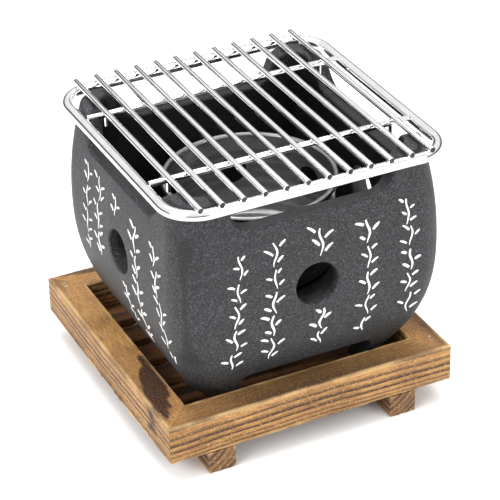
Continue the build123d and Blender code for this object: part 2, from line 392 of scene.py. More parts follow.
def paint(piece: bpy.types.Object, material: bpy.types.Material) -> None:
    """Give a piece one material all over."""
    piece.data.materials.clear()
    piece.data.materials.append(material)


def bump(tree: bpy.types.NodeTree, height, depth_mm: float, strength: float):
    """Turn a height of 0 to 1 into a shading normal.

    Args:
        tree: the node tree.
        height: the height's socket.
        depth_mm: the depth that height 1 stands for.
        strength: how much of it shows.

    Returns:
        The normal's socket.
    """
    inputs = {"Height": height, "Distance": depth_mm * MM, "Strength": strength}
    return place(tree, "Bump", inputs).outputs["Normal"]


# ---------------------------------------------------------------- finishes
class Grain(Enum):
    """Which way a board's fibres run: the numbers of the axes along, across and up."""

    ALONG_X = (0, 1, 2)
    ALONG_Y = (1, 0, 2)


@dataclass(frozen=True)
class ScorchedPine:
    """Pine that was scorched and brushed, so that the late wood stands dark and proud."""

    early: Colour = srgb(216, 168, 102)
    golden: Colour = srgb(140, 90, 44)
    late: Colour = srgb(38, 21, 14)
    knot: Colour = srgb(40, 18, 11)
    worn: Colour = srgb(232, 194, 138)
    soot: Colour = srgb(78, 44, 22)
    late_share: float = 1.0
    soot_share: float = 0.4
    roughness: float = 0.55
    sheen: float = 0.03
    relief_mm: float = 0.28
    stretch: tuple[float, float] = (55.0, 1300.0)

    def make(self, name: str, grain: Grain) -> bpy.types.Material:
        """Build the material for boards whose fibres run one way.

        Args:
            name: the material's name.
            grain: the fibres' direction.

        Returns:
            The material.
        """
        material, tree, shader = new_material(name)
        along, fine = self.stretch
        scale = [fine, fine, fine]
        scale[grain.value[0]] = along
        where = place(tree, "TexCoord").outputs["Object"]
        stretched = place(tree, "Mapping", {"Vector": where, "Scale": scale}).outputs[0]
        ring = place(tree, "Attribute", attribute_name="ring").outputs["Fac"]
        knot = place(tree, "Attribute", attribute_name="knot").outputs["Fac"]
        edge = place(tree, "Attribute", attribute_name="edge").outputs["Fac"]
        wood = Effects.use(tree, "pine_grain", {"Ring": ring, "Vector": stretched}).outputs
        cloud = Effects.use(tree, "mottle", {"Vector": where, "Scale": 38.0}).outputs
        colour = blend(tree, wood["Fibre"], self.golden, self.early)
        colour = blend(tree, math_node(tree, "MULTIPLY", wood["Streak"], 0.6), colour, self.late)
        late = math_node(tree, "MULTIPLY", wood["Latewood"], self.late_share)
        colour = blend(tree, late, colour, self.late)
        smoke = math_node(tree, "MULTIPLY", cloud["Cloud"], self.soot_share)
        colour = blend(tree, smoke, colour, self.soot)
        fleck = grain_noise(tree, where, 1100.0, 2.0, 0.6)
        colour = blend(tree, spread(tree, fleck, 0.56, 0.74, 0.0, 0.45), colour, self.worn)
        colour = blend(tree, spread(tree, fleck, 0.28, 0.44, 0.4, 0.0), colour, self.soot)
        inner_knot = math_node(tree, "SUBTRACT", knot, 0.15)
        rough_knot = math_node(tree, "MULTIPLY_ADD", wood["Fibre"], 0.35, inner_knot)
        heart = blend(tree, spread(tree, fleck, 0.45, 0.7, 0.0, 0.6), self.knot, self.golden)
        colour = blend(tree, spread(tree, rough_knot, 0.25, 0.75), colour, heart)
        wear = math_node(tree, "MULTIPLY", edge, spread(tree, cloud["Cloud"], 0.1, 0.8, 1.0, 0.3))
        colour = blend(tree, wear, colour, self.worn)
        rough = math_node(tree, "MULTIPLY_ADD", wood["Fibre"], 0.14, self.roughness - 0.07)
        feed(tree, shader, {
            "Base Color": colour,
            "Roughness": rough,
            "Specular IOR Level": 0.35,
            "Sheen Weight": self.sheen,
            "Sheen Roughness": 0.5,
            "Normal": bump(tree, wood["Height"], self.relief_mm, 0.8),
        })
        return material


@dataclass(frozen=True)
class SpeckledCasting:
    """Dark stoved coating over a sand casting: fine light specks in a dull charcoal ground."""

    centre: tuple[float, float]
    half_inside: float
    ground: Colour = srgb(38, 40, 43)
    # deep: the dark pits of the coarse grain, and also the colour of the painted shade inside the pot and its
    # vents
    deep: Colour = srgb(3, 3, 4)
    speck: Colour = srgb(126, 129, 136)
    worn: Colour = srgb(80, 82, 86)
    roughness: float = 0.5
    grain_mm: float = 0.36

    def make(self, name: str) -> bpy.types.Material:
        """Build the material."""
        material, tree, shader = new_material(name)
        where = place(tree, "TexCoord").outputs["Object"]
        cloud = Effects.use(tree, "mottle", {"Vector": where, "Scale": 26.0}).outputs
        coarse = grain_noise(tree, where, 760.0, 3.0, 0.7)
        fine = grain_noise(tree, where, 1700.0, 2.0, 0.6)
        speck = spread(tree, fine, 0.54, 0.74)
        colour = blend(tree, spread(tree, coarse, 0.43, 0.6), self.deep, self.ground)
        colour = blend(tree, math_node(tree, "MULTIPLY", cloud["Cloud"], 0.06), colour, self.worn)
        colour = blend(tree, math_node(tree, "MULTIPLY", speck, 0.55), colour, self.speck)
        # painted shade: the inner walls and vents are darkened nearly to black, standing for the shade inside
        # the pot and its vents
        colour = blend(tree, math_node(tree, "MULTIPLY", self.inside(tree, where), 0.72), colour, self.deep)
        height = math_node(tree, "MULTIPLY_ADD", coarse, 0.75, math_node(tree, "MULTIPLY", fine, 0.35))
        rough = math_node(tree, "MULTIPLY_ADD", cloud["Cloud"], 0.1, self.roughness)
        feed(tree, shader, {
            "Base Color": colour,
            "Roughness": rough,
            "Specular IOR Level": 0.42,
            "Coat Weight": 0.05,
            "Coat Roughness": 0.35,
            "Normal": bump(tree, height, self.grain_mm, 1.0),
        })
        return material

    def inside(self, tree: bpy.types.NodeTree, where) -> bpy.types.NodeSocket:
        """Mask the inner walls and vents for painted shade, telling them from the outer skin by their
        distance from the middle.
        """
        parts = place(tree, "SeparateXYZ", {"Vector": where}).outputs
        aside = math_node(tree, "ABSOLUTE", math_node(tree, "SUBTRACT", parts["X"], self.centre[0]))
        ahead = math_node(tree, "ABSOLUTE", math_node(tree, "SUBTRACT", parts["Y"], self.centre[1]))
        reach = math_node(tree, "MAXIMUM", aside, ahead)
        deep_in = spread(tree, reach, self.half_inside - 1.5 * MM, self.half_inside, 1.0, 0.0)
        above_arches = spread(tree, parts["Z"], 55 * MM, 60 * MM)
        below_rim = spread(tree, parts["Z"], 118 * MM, 130 * MM, 1.0, 0.0)
        return math_node(tree, "MULTIPLY", deep_in, math_node(tree, "MULTIPLY", above_arches, below_rim))


@dataclass(frozen=True)
class BrushPaint:
    """Opaque white paint laid on with a brush over the coarse coating."""

    body: Colour = srgb(240, 240, 238)
    thin: Colour = srgb(196, 197, 198)
    roughness: float = 0.5

    def make(self, name: str) -> bpy.types.Material:
        """Build the material."""
        material, tree, shader = new_material(name)
        where = place(tree, "TexCoord").outputs["Object"]
        coarse = grain_noise(tree, where, 900.0, 3.0, 0.6)
        dry = spread(tree, coarse, 0.56, 0.74)
        feed(tree, shader, {
            "Base Color": blend(tree, math_node(tree, "MULTIPLY", dry, 0.6), self.body, self.thin),
            "Roughness": spread(tree, coarse, 0.3, 0.7, self.roughness - 0.1, self.roughness + 0.15),
            "Normal": bump(tree, coarse, 0.06, 0.7),
        })
        return material


@dataclass(frozen=True)
class BrightWire:
    """Bright plated wire with a faint haze and fine spots in its surface."""

    metal: Colour = srgb(247, 247, 248)
    haze: Colour = srgb(200, 201, 204)
    roughness: float = 0.06
    haze_share: float = 0.2

    def make(self, name: str) -> bpy.types.Material:
        """Build the material."""
        material, tree, shader = new_material(name)
        where = place(tree, "TexCoord").outputs["Object"]
        cloud = Effects.use(tree, "mottle", {"Vector": where, "Scale": 120.0}).outputs
        dull = math_node(tree, "MULTIPLY", cloud["Cloud"], self.haze_share)
        feed(tree, shader, {
            "Base Color": blend(tree, dull, self.metal, self.haze),
            "Metallic": 1.0,
            "Roughness": math_node(tree, "MULTIPLY_ADD", cloud["Cloud"], 0.08, self.roughness),
            "Normal": bump(tree, cloud["Spot"], 0.01, 0.5),
        })
        return material


@dataclass(frozen=True)
class SpunSteel:
    """Spun and polished sheet steel, with lines that run round the cup."""

    centre: tuple[float, float]
    metal: Colour = srgb(176, 174, 174)
    shade: Colour = srgb(92, 91, 93)
    roughness: float = 0.24

    def make(self, name: str) -> bpy.types.Material:
        """Build the material."""
        material, tree, shader = new_material(name)
        where = place(tree, "TexCoord").outputs["Object"]
        middle = (-self.centre[0], -self.centre[1], 0.0)
        centred = place(tree, "Mapping", {"Vector": where, "Location": middle}).outputs[0]
        lines = Effects.use(tree, "turned_lines", {"Vector": centred}).outputs
        cloud = Effects.use(tree, "mottle", {"Vector": where, "Scale": 45.0}).outputs
        colour = blend(tree, math_node(tree, "MULTIPLY", lines["Band"], 0.5), self.metal, self.shade)
        colour = blend(tree, math_node(tree, "MULTIPLY", cloud["Spot"], 0.3), colour, self.shade)
        rough = math_node(tree, "MULTIPLY_ADD", lines["Line"], 0.2, self.roughness)
        feed(tree, shader, {
            "Base Color": colour,
            "Metallic": 1.0,
            "Roughness": rough,
            "Normal": bump(tree, lines["Line"], 0.02, 0.8),
        })
        return material


@dataclass(frozen=True)
class ZincPlate:
    """Dull zinc plating of the screws, nails and brads."""

    metal: Colour = srgb(196, 196, 190)
    stain: Colour = srgb(120, 112, 98)
    roughness: float = 0.38

    def make(self, name: str) -> bpy.types.Material:
        """Build the material."""
        material, tree, shader = new_material(name)
        where = place(tree, "TexCoord").outputs["Object"]
        cloud = Effects.use(tree, "mottle", {"Vector": where, "Scale": 320.0}).outputs
        feed(tree, shader, {
            "Base Color": blend(tree, cloud["Cloud"], self.metal, self.stain),
            "Metallic": 0.9,
            "Roughness": math_node(tree, "MULTIPLY_ADD", cloud["Spot"], 0.2, self.roughness),
            "Normal": bump(tree, cloud["Spot"], 0.02, 0.6),
        })
        return material


# ---------------------------------------------------------------- stand
@dataclass(frozen=True)
class Knot:
    """A knot in a board, in millimetres from the board's middle."""

    along: float
    across: float
    length: float
    width: float
    lift: float = 2.0
    strength: float = 1.0
    slope: float = 0.0


@dataclass
class Board:
    """One piece of pine with its place in the log, from which its rings follow."""

    name: str
    grain: Grain
    seed: float
    pith: tuple[float, float] = (4.0, 62.0)
    ring_mm: float = 5.8
    narrowing: float = 0.19
    first: float = 0.5
    wander: float = 1.0
    knots: tuple[Knot, ...] = ()
    hollow_mm: float = 0.16
    ragged_mm: float = 0.12

    def local(self, point: Vector, low: Vector, high: Vector) -> tuple[float, float, float]:
        """Give a point along, across and up the board, in millimetres from its middle."""
        middle = (low + high) / 2
        offset = (point - middle) / MM
        along, across, up = self.grain.value
        return offset[along], offset[across], offset[up]

    def rings(self, along: float, across: float, up: float, top: float) -> tuple[float, float]:
        """Count the rings out from the board's top face and find how deep a point is in a knot.

        Args:
            along: along the board, in millimetres from its middle.
            across: across it.
            up: up from its middle.
            top: the top face's height above the middle.

        Returns:
            The ring count and the share of knot, 0 to 1.
        """
        slow = noise.noise(Vector((along * 0.011, self.seed, 0.3)))
        quick = noise.noise(Vector((along * 0.05, across * 0.06 + self.seed, up * 0.06)))
        tiny = noise.noise(Vector((along * 0.16, across * 0.3, up * 0.3 + self.seed)))
        depth_shift = self.wander * (3.2 * slow + 0.4 * quick + 0.08 * tiny)
        share = 0.0
        for knot in self.knots:
            ragged = 0.3 * noise.noise(Vector((along * 0.12, across * 0.35, up * 0.2 + self.seed)))
            aside = across - knot.across - knot.slope * (along - knot.along)
            far = math.hypot((along - knot.along) / knot.length, aside / knot.width)
            depth_shift += knot.lift * math.exp(-far * far)
            inside = 1.0 - (far + ragged)
            share = max(share, knot.strength * min(1.0, max(0.0, inside * 3.0)))
        aside, above = self.pith
        reach = math.hypot(across - aside, above + top - up)
        depth = reach - above + depth_shift
        limit = 0.93 * self.ring_mm / self.narrowing
        depth = min(depth, limit)
        return -math.log(1 - self.narrowing * depth / self.ring_mm) / self.narrowing + self.first, share

    def mark(self, piece: bpy.types.Object, edge_mm: float) -> None:
        """Write the rings, knots and worn edges on a board's mesh and sink its soft wood.

        Args:
            piece: the board's finished mesh, before its wood is sunk.
            edge_mm: how far in from the long edges the wear reaches.
        """
        mesh = piece.data
        points = [vertex.co.copy() for vertex in mesh.vertices]
        low = Vector(tuple(min(p[i] for p in points) for i in range(3)))
        high = Vector(tuple(max(p[i] for p in points) for i in range(3)))
        half = [(high[i] - low[i]) / 2 / MM for i in range(3)]
        along_axis, across_axis, up_axis = self.grain.value
        mitre_mm = half[along_axis] - 2 * half[across_axis]
        layers = {"ring": [], "knot": [], "edge": []}
        weights = []
        for point in points:
            along, across, up = self.local(point, low, high)
            ring, share = self.rings(along, across, up, half[up_axis])
            to_side = half[across_axis] - abs(across)
            to_face = half[up_axis] - abs(up)
            near = max(0.0, 1.0 - math.hypot(max(to_side, 0), max(to_face, 0)) / edge_mm)
            layers["ring"].append(ring)
            layers["knot"].append(share)
            layers["edge"].append(near)
            late = ring % 1.0
            soft = 1.0 - max(0.0, (late - 0.45) / 0.5) if late < 0.95 else 0.2
            rough = 0.5 + 0.5 * noise.noise(Vector((along * 0.09, across * 0.4 + self.seed, up * 0.4)))
            weight = 0.55 * soft * (1 - share) + 0.45 * rough + 0.4 * near * rough
            low_edge = max(0.0, 1.0 - (half[up_axis] + up) / 3.2) * max(0.0, 1.0 - to_side / 2.0)
            torn = low_edge * max(0.0, 0.25 + 1.5 * noise.noise(Vector((along * 0.22, self.seed, 2.0))))
            torn *= min(1.0, max(0.0, (mitre_mm - abs(along)) / 8.0))
            sunk_mm = self.hollow_mm * min(1.0, max(0.0, weight)) + self.ragged_mm * min(1.0, torn)
            weights.append(sunk_mm / (self.hollow_mm + self.ragged_mm))
        for name, values in layers.items():
            mesh.attributes.new(name, "FLOAT", "POINT").data.foreach_set("value", values)
        sunk = piece.vertex_groups.new(name="sunk")
        for index, weight in enumerate(weights):
            sunk.add([index], weight, "REPLACE")
        sink = piece.modifiers.new("sink", "DISPLACE")
        sink.vertex_group = "sunk"
        sink.mid_level = 0.0
        sink.strength = -(self.hollow_mm + self.ragged_mm) * MM
        apply_modifiers(piece)
        piece.vertex_groups.clear()
        LOG.info("board %s: %d faces", self.name, len(mesh.polygons))


@dataclass
class Stand:
    """The wooden stand: four mitred rails, two runners, six slats and their fixings."""

    rail_soften_mm: float = 1.3
    runner_soften_mm: float = 0.8
    slat_soften_mm: float = 0.7
    rail_cuts: tuple[int, int, int] = (149, 19, 27)
    runner_cuts: tuple[int, int, int] = (149, 13, 13)
    slat_cuts: tuple[int, int, int] = (109, 13, 4)
    brad_radius_mm: float = 0.7
    brad_step_mm: float = 3.2
    brad_lift_mm: float = 0.02
    brad_dome_mm: tuple[tuple[float, float], ...] = ((0.18, 0.07), (0.25, 0.03))
    wear_mm: float = 1.9
    rails: dict[str, Board] = field(default_factory=lambda: {
        "rail_front": Board("rail_front", Grain.ALONG_X, 1.7, pith=(5.0, 70.0)),
        "rail_right": Board("rail_right", Grain.ALONG_Y, 7.3, pith=(-9.0, 48.0), ring_mm=5.0, first=0.1),
        "rail_back": Board("rail_back", Grain.ALONG_X, 12.9, pith=(12.0, 55.0), ring_mm=5.4, first=0.8),
        "rail_left": Board(
            "rail_left", Grain.ALONG_Y, 4.1, pith=(6.0, 58.0), ring_mm=5.2, first=0.35,
            knots=(Knot(-38.0, 1.2, 30.0, 7.0, 2.0, slope=0.23),), ragged_mm=1.1,
        ),
    })
    runners: dict[str, Board] = field(default_factory=lambda: {
        "runner_left": Board(
            "runner_left", Grain.ALONG_Y, 21.0, pith=(-22.0, 18.0), ring_mm=3.6, narrowing=0.04
        ),
        "runner_right": Board(
            "runner_right", Grain.ALONG_Y, 25.0, pith=(-20.0, 20.0), ring_mm=3.2, narrowing=0.04
        ),
    })

    def board_blank(
        self, name: str, low: Vector, high: Vector, cuts: tuple[int, int, int], soften_mm: float, mitre: bool
    ) -> bpy.types.Object:
        """Model a board along X: cut its ends, divide it finely and round its long edges.

        Args:
            name: the piece's name.
            low: the lowest corner.
            high: the highest corner.
            cuts: how many cuts are made along X, Y and Z.
            soften_mm: the long edges' rounding.
            mitre: whether the ends are cut at 45 degrees, the long side at the front.

        Returns:
            The board.
        """
        deselect()
        size = high - low
        bpy.ops.mesh.primitive_cube_add(size=1, location=(low + high) / 2, scale=size)
        piece = bpy.context.view_layer.objects.active
        bpy.ops.object.transform_apply(location=True, rotation=False, scale=True)
        edit(piece)
        if mitre:
            for side in (-1, 1):
                bpy.ops.mesh.select_all(action="SELECT")
                corner = (side * high.x, low.y, low.z)
                slope = (side, 1, 0)
                bpy.ops.mesh.bisect(plane_co=corner, plane_no=slope, use_fill=True, clear_outer=True)
        for axis, number in enumerate(cuts):
            def runs(edge, axis=axis) -> bool:
                step = edge.verts[1].co - edge.verts[0].co
                major = max(range(3), key=lambda i: abs(step[i]))
                if mitre and axis == 1:
                    return abs(step.y) > 0.9 * size.y
                if mitre and axis == 0:
                    return abs(step.y) < LEVEL and abs(step.z) < LEVEL
                return major == axis
            pick(piece, Part.EDGES, runs)
            bpy.ops.mesh.subdivide(number_cuts=number, quadcorner="INNERVERT")

        def long_corner(edge) -> bool:
            a, b = edge.verts[0].co, edge.verts[1].co
            if abs(a.y - b.y) > LEVEL or abs(a.z - b.z) > LEVEL:
                return False
            at_side = min(abs(a.y - low.y), abs(a.y - high.y)) < 1e-6
            at_face = min(abs(a.z - low.z), abs(a.z - high.z)) < 1e-6
            return at_side and at_face

        pick(piece, Part.EDGES, long_corner)
        bpy.ops.mesh.bevel(
            offset=soften_mm * MM, segments=3, profile=0.5, affect="EDGES", clamp_overlap=False
        )
        bpy.ops.mesh.select_all(action="SELECT")
        bpy.ops.mesh.remove_doubles(threshold=0.01 * MM)
        bpy.ops.mesh.normals_make_consistent(inside=False)
        bpy.ops.object.mode_set(mode="OBJECT")
        return settle(piece, name)

    def finish_board(
        self, piece: bpy.types.Object, board: Board, material: bpy.types.Material
    ) -> None:
        """Mark a board's grain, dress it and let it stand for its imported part."""
        board.mark(piece, self.wear_mm)
        settle(piece, piece.name)
        paint(piece, material)
        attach(piece, "stand")
        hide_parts(board.name)

    def build_rails(self, finishes: dict[Grain, bpy.types.Material]) -> None:
        """Model the front rail, then turn copies of it to the other sides."""
        low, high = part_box("rail_front")
        blank = self.board_blank("rail_blank", low, high, self.rail_cuts, self.rail_soften_mm, True)
        for number, (node, board) in enumerate(self.rails.items()):
            piece = twin(blank, node.replace("_", "_board_"), Matrix.Rotation(number * math.pi / 2, 4, "Z"))
            self.finish_board(piece, board, finishes[board.grain])
        bpy.data.objects.remove(blank)

    def build_runners(self, material: bpy.types.Material) -> None:
        """Model one runner and copy it to the other side."""
        for node, board in self.runners.items():
            low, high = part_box(node)
            turn = Matrix.Rotation(math.pi / 2, 4, "Z")
            flat_low = Vector((low.y, -high.x, low.z))
            flat_high = Vector((high.y, -low.x, high.z))
            blank = self.board_blank(
                node + "_blank", flat_low, flat_high, self.runner_cuts, self.runner_soften_mm, False
            )
            piece = twin(blank, node.replace("_", "_batten_"), turn)
            bpy.data.objects.remove(blank)
            self.finish_board(piece, board, material)

    def build_slats(self, material: bpy.types.Material) -> None:
        """Model one slat and copy it to the other places."""
        low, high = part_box("floor_slat_1")
        blank = self.board_blank("slat_blank", low, high, self.slat_cuts, self.slat_soften_mm, False)
        for number in range(1, 7):
            node = f"floor_slat_{number}"
            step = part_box(node)[0] - low
            piece = twin(blank, f"tray_slat_{number}", Matrix.Translation(step))
            pith = (6.0 - 3 * number, 24.0 + 3 * number)
            seed, first = 31.0 + 3.7 * number, 0.21 * number
            board = Board(node, Grain.ALONG_X, seed, pith, ring_mm=3.4, narrowing=0.05, first=first)
            self.finish_board(piece, board, material)
        bpy.data.objects.remove(blank)

    def build_brads(self, material: bpy.types.Material) -> None:
        """Model one brad with its small domed head and copy it to each place beside the mitres."""
        low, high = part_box("corner_brads")
        radius = self.brad_radius_mm * MM
        side_x, near_y = high.x - radius, high.y - radius
        far_y = near_y - self.brad_step_mm * MM
        deselect()
        bpy.ops.mesh.primitive_cylinder_add(
            vertices=24, radius=radius, depth=high.z - low.z, location=(0, 0, (low.z + high.z) / 2)
        )
        piece = bpy.context.view_layer.objects.active
        edit(piece)
        pick(piece, Part.FACES, lambda face: face.normal.z > 0.9)
        for inward, upward in self.brad_dome_mm:
            bpy.ops.mesh.inset(thickness=inward * MM)
            bpy.ops.transform.translate(value=(0, 0, upward * MM))
        bpy.ops.object.mode_set(mode="OBJECT")
        settle(piece, "brad_blank")
        spots = [(sx * side_x, sy * y) for y in (near_y, far_y) for sx in (-1, 1) for sy in (-1, 1)]
        lift = self.brad_lift_mm * MM
        moves = [Matrix.Translation((x, y, lift)) for x, y in spots]
        copies = [twin(piece, f"brad_{number}", move) for number, move in enumerate(moves)]
        bpy.data.objects.remove(piece)
        joined = join(copies, "corner_brad_heads")
        paint(joined, material)
        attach(joined, "stand")
        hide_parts("corner_brads")
        LOG.info("brads: %d places", len(spots))

    def build(self) -> None:
        """Model and dress the whole stand."""
        pine = ScorchedPine()
        rails = {grain: pine.make(f"scorched_pine_{grain.name.lower()}", grain) for grain in Grain}
        self.build_rails(rails)
        runner = ScorchedPine(early=srgb(168, 128, 86), golden=srgb(128, 90, 56), soot_share=0.45)
        self.build_runners(runner.make("scorched_pine_runners", Grain.ALONG_Y))
        charred = ScorchedPine(
            early=srgb(158, 106, 60), golden=srgb(112, 70, 38), late=srgb(36, 21, 13),
            worn=srgb(138, 96, 60), soot=srgb(30, 18, 12), soot_share=0.45, roughness=0.6,
        )
        self.build_slats(charred.make("charred_pine_slats", Grain.ALONG_X))
        zinc = ZincPlate().make("dull_zinc")
        self.build_brads(zinc)
        for node in ("runner_screws", "slat_nails"):
            paint(frame["nodes"][node], zinc)
        LOG.info("stand is ready")


# ---------------------------------------------------------------- pot
class Wall(Enum):
    """A side wall of the pot: its name and how far it is turned from the front, in quarter turns."""

    FRONT = 0
    RIGHT = 1
    BACK = 2
    LEFT = 3


@dataclass(frozen=True)
class Column:
    """A column of painted sprigs on a wall, in millimetres right of its middle and above the ground."""

    right: float
    top: float
    bottom: float
    lean: float = 0.0


@dataclass
class FirePot:
    """The cast pot with its speckled coating and white painted sprigs."""

    paint_mm: float = 0.14
    lift_mm: float = 0.02
    mark_mm: float = 11.5
    leaf_pitch_mm: float = 3.6
    stroke_mm: tuple[float, float] = (0.75, 1.2)
    columns: dict[Wall, tuple[Column, ...]] = field(default_factory=lambda: {
        Wall.FRONT: (
            Column(-39.5, 112, 50, -3), Column(-21.5, 114, 50, -2), Column(1.8, 115, 102), Column(2, 72, 51),
            Column(26.5, 113, 51), Column(48, 118, 54, 1.5),
        ),
        Wall.LEFT: (
            Column(-35.5, 117, 69, -3), Column(-21.5, 116, 68, -2.5), Column(-2.5, 115, 102),
            Column(5, 71, 52, 5), Column(20.5, 111, 48, 3), Column(42.5, 111, 54, 12),
        ),
        Wall.RIGHT: (
            Column(-41, 115, 58, -2), Column(-22, 112, 50, -1), Column(0, 115, 102), Column(1, 72, 52),
            Column(21, 114, 50, 2), Column(43, 116, 60, 3),
        ),
        Wall.BACK: (
            Column(-42, 117, 60, -3), Column(-20, 113, 49, -1), Column(-1, 114, 102), Column(-1, 72, 50),
            Column(23, 112, 52, 1), Column(41, 118, 56, 2),
        ),
    })

    def stroke_points(self, rng: random.Random, x: float, z: float, width: float, tall: float) -> list:
        """Draw one section of a winding sprig: a stem and short leaves beside it that do not touch it.

        Args:
            rng: the source of chance.
            x: the section's middle, in millimetres.
            z: the section's top.
            width: the section's width.
            tall: the section's height.

        Returns:
            Strokes, each a list of (x, z, half width) in millimetres.
        """
        strokes = []
        thick = rng.uniform(*self.stroke_mm) / 2
        sway, phase = rng.uniform(0.06, 0.1) * width, rng.uniform(0, 2 * math.pi)

        def stem_x(down: float) -> float:
            return x + sway * math.sin(phase + 0.5 * down)

        def stroke(places: list, weight: float) -> None:
            made = []
            for number, (u, v) in enumerate(places):
                share = number / (len(places) - 1)
                swell = (0.75 + 0.45 * math.sin(2.6 * share + 0.3)) * (1.0 if share < 0.8 else 0.55)
                made.append((u, v, thick * weight * swell * rng.uniform(0.85, 1.15)))
            strokes.append(made)

        downs = [tall * step / 8 for step in range(9)]
        stroke([(stem_x(down), z - down) for down in downs], 0.85)
        count = max(1, round(tall / self.leaf_pitch_mm))
        side = rng.choice((-1, 1))
        for number in range(count):
            down = (number + rng.uniform(0.4, 0.6)) * tall / count
            length = rng.uniform(0.28, 0.42) * width
            angle, bend = rng.uniform(0.5, 1.0), rng.uniform(0.3, 0.7)
            u, v = stem_x(down) + side * 0.15 * width, z - down
            leaf = []
            for _ in range(5):
                leaf.append((u, v))
                u += side * math.cos(angle) * length / 4
                v += math.sin(angle) * length / 4
                angle -= bend / 4
            stroke(leaf, 1.15)
            side = -side
        return strokes

    def wall_marks(self, wall: Wall, pot: bpy.types.Object, centre: Vector, reach: float) -> bpy.types.Object:
        """Brush one wall's columns of marks as ribbons and wrap them onto the pot.

        Args:
            wall: the wall.
            pot: the pot that they are wrapped onto.
            centre: the pot's middle.
            reach: the pot's half width.

        Returns:
            The marks as one piece.
        """
        rng = random.Random(40 + wall.value)
        deselect()
        bpy.ops.curve.primitive_nurbs_path_add(location=(0, 0, 0))
        line = bpy.context.view_layer.objects.active
        ribbon = line.data
        ribbon.splines.clear()
        ribbon.dimensions = "2D"
        for column in self.columns[wall]:
            z = column.top
            while z - 4 > column.bottom:
                tall = min(rng.uniform(0.85, 1.25) * self.mark_mm, z - column.bottom + 1)
                share = (column.top - z) / max(1.0, column.top - column.bottom)
                x = column.right + column.lean * share + rng.uniform(-0.8, 0.8)
                width = rng.uniform(0.8, 1.2) * self.mark_mm
                for points in self.stroke_points(rng, x, z, width, tall):
                    spline = ribbon.splines.new("NURBS")
                    spline.points.add(len(points) - 1)
                    for point, (u, v, half) in zip(spline.points, points):
                        point.co = (u * MM, v * MM, 0, 1)
                        point.radius = half
                    spline.order_u = min(4, len(points))
                    spline.use_endpoint_u = True
                    spline.resolution_u = 5
                z -= tall + rng.uniform(1.0, 2.4)
        bpy.ops.curve.primitive_nurbs_path_add(location=(0, 0, 0))
        brush = bpy.context.view_layer.objects.active
        brush.data.splines.clear()
        across = brush.data.splines.new("POLY")
        across.points.add(2)
        for point, x in zip(across.points, (-MM, 0, MM)):
            point.co = (x, 0, 0, 1)
        ribbon.bevel_mode = "OBJECT"
        ribbon.bevel_object = brush
        ribbon.fill_mode = "NONE"
        take(line)
        bpy.ops.object.convert(target="MESH")
        marks = bpy.context.view_layer.objects.active
        bpy.data.objects.remove(brush)
        stand_up = Matrix.Rotation(math.pi / 2, 4, "X")
        turn = Matrix.Rotation(wall.value * math.pi / 2, 4, "Z")
        middle = Matrix.Translation((centre.x, centre.y, 0))
        marks.data.transform(middle @ turn @ Matrix.Translation((0, -1.15 * reach, 0)) @ stand_up)
        wrap = marks.modifiers.new("wrap", "SHRINKWRAP")
        wrap.target = pot
        wrap.wrap_method = "PROJECT"
        wrap.use_negative_direction = True
        wrap.use_positive_direction = True
        if wall in (Wall.FRONT, Wall.BACK):
            wrap.use_project_y = True
        else:
            wrap.use_project_x = True
        wrap.project_limit = 0.4 * reach
        wrap.offset = self.lift_mm * MM
        apply_modifiers(marks)
        edit(marks)
        bpy.ops.mesh.select_all(action="SELECT")
        bpy.ops.mesh.remove_doubles(threshold=0.02 * MM)
        bpy.ops.object.mode_set(mode="OBJECT")
        outward = turn @ Vector((0, -1, 0))
        if sum((face.normal.dot(outward) for face in marks.data.polygons)) < 0:
            marks.data.flip_normals()
        thick = marks.modifiers.new("paint", "SOLIDIFY")
        thick.thickness = self.paint_mm * MM
        thick.offset = 1.0
        apply_modifiers(marks)
        return settle(marks, f"brush_marks_{wall.name.lower()}")

    def build(self) -> None:
        """Dress the pot and brush its marks."""
        pot = merged_copy("fire_pot", "cast_fire_pot")
        low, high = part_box("fire_pot")
        centre = (low + high) / 2
        casting = SpeckledCasting((centre.x, centre.y), (high.x - low.x) / 2 - 3.5 * MM)
        paint(pot, casting.make("speckled_casting"))
        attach(pot, "pot")
        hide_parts("fire_pot")
        LOG.info("pot: %d faces", len(pot.data.polygons))
        white = BrushPaint().make("white_brush_paint")
        for wall in Wall:
            marks = self.wall_marks(wall, pot, centre, (high.x - low.x) / 2)
            paint(marks, white)
            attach(marks, "pot")
            LOG.info("marks on the %s wall: %d faces", wall.name.lower(), len(marks.data.polygons))


# ---------------------------------------------------------------- cup
@dataclass
class FuelCup:
    """The spun cup that holds the fuel."""

    def build(self) -> None:
        """Dress the cup."""
        cup = merged_copy("fuel_cup", "spun_fuel_cup")
        low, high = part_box("fuel_cup")
        centre = (low + high) / 2
        paint(cup, SpunSteel((centre.x, centre.y)).make("spun_steel"))
        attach(cup, "cup")
        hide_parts("fuel_cup")
        LOG.info("cup: %d faces", len(cup.data.polygons))


